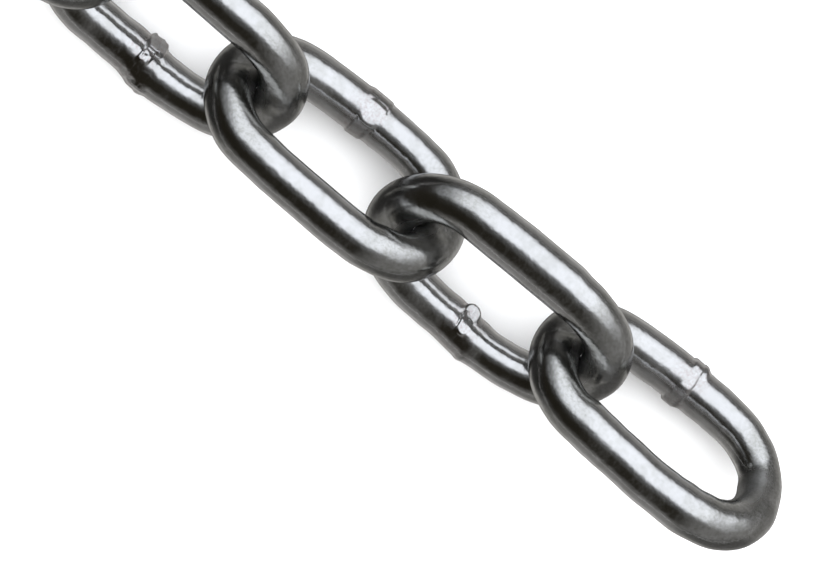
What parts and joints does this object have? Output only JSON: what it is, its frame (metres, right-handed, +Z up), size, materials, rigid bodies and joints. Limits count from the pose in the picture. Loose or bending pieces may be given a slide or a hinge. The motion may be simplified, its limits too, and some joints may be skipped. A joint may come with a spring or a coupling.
{
  "type": "length of welded link chain",
  "caption": "Short cut length of bright welded steel chain with oval links, each free to swing on the next, laid out straight.",
  "frame": {"origin": "on the floor under the middle of the chain", "axes": "+X along the chain, from link_10 to link_01; +Z up from the floor; links with odd numbers lean towards -Y at the top, those with even numbers towards +Y"},
  "size_m": [0.3112, 0.0224, 0.0213],
  "materials": {
    "bright_steel": "bright, smooth drawn wire, with rougher burrs at the welds"
  },
  "bodies": {
    "link_01": {"link_01": "bright_steel"},
    "link_02": {"link_02": "bright_steel"},
    "link_03": {"link_03": "bright_steel"},
    "link_04": {"link_04": "bright_steel"},
    "link_05": {"link_05": "bright_steel"},
    "link_06": {"link_06": "bright_steel"},
    "link_07": {"link_07": "bright_steel"},
    "link_08": {"link_08": "bright_steel"},
    "link_09": {"link_09": "bright_steel"},
    "link_10": {"link_10": "bright_steel"}
  },
  "joints": [
    {"name": "link_02_swing", "type": "hinge", "parent": "link_01", "child": "link_02", "pos_m": [0.11515, 0, 0.0112], "axis": [0, -0.7071, 0.7071], "range_deg": [-120, 120]},
    {"name": "link_03_swing", "type": "hinge", "parent": "link_02", "child": "link_03", "pos_m": [0.08545, 0, 0.0112], "axis": [0, 0.7071, 0.7071], "range_deg": [-120, 120]},
    {"name": "link_04_swing", "type": "hinge", "parent": "link_03", "child": "link_04", "pos_m": [0.05575, 0, 0.0112], "axis": [0, 0.7071, -0.7071], "range_deg": [-120, 120]},
    {"name": "link_05_swing", "type": "hinge", "parent": "link_04", "child": "link_05", "pos_m": [0.02605, 0, 0.0112], "axis": [0, -0.7071, -0.7071], "range_deg": [-120, 120]},
    {"name": "link_06_swing", "type": "hinge", "parent": "link_05", "child": "link_06", "pos_m": [-0.00365, 0, 0.0112], "axis": [0, -0.7071, 0.7071], "range_deg": [-120, 120]},
    {"name": "link_07_swing", "type": "hinge", "parent": "link_06", "child": "link_07", "pos_m": [-0.03335, 0, 0.0112], "axis": [0, 0.7071, 0.7071], "range_deg": [-120, 120]},
    {"name": "link_08_swing", "type": "hinge", "parent": "link_07", "child": "link_08", "pos_m": [-0.06305, 0, 0.0112], "axis": [0, 0.7071, -0.7071], "range_deg": [-120, 120]},
    {"name": "link_09_swing", "type": "hinge", "parent": "link_08", "child": "link_09", "pos_m": [-0.09275, 0, 0.0112], "axis": [0, -0.7071, -0.7071], "range_deg": [-120, 120]},
    {"name": "link_10_swing", "type": "hinge", "parent": "link_09", "child": "link_10", "pos_m": [-0.12245, 0, 0.0112], "axis": [0, -0.7071, 0.7071], "range_deg": [-120, 120]}
  ]
}
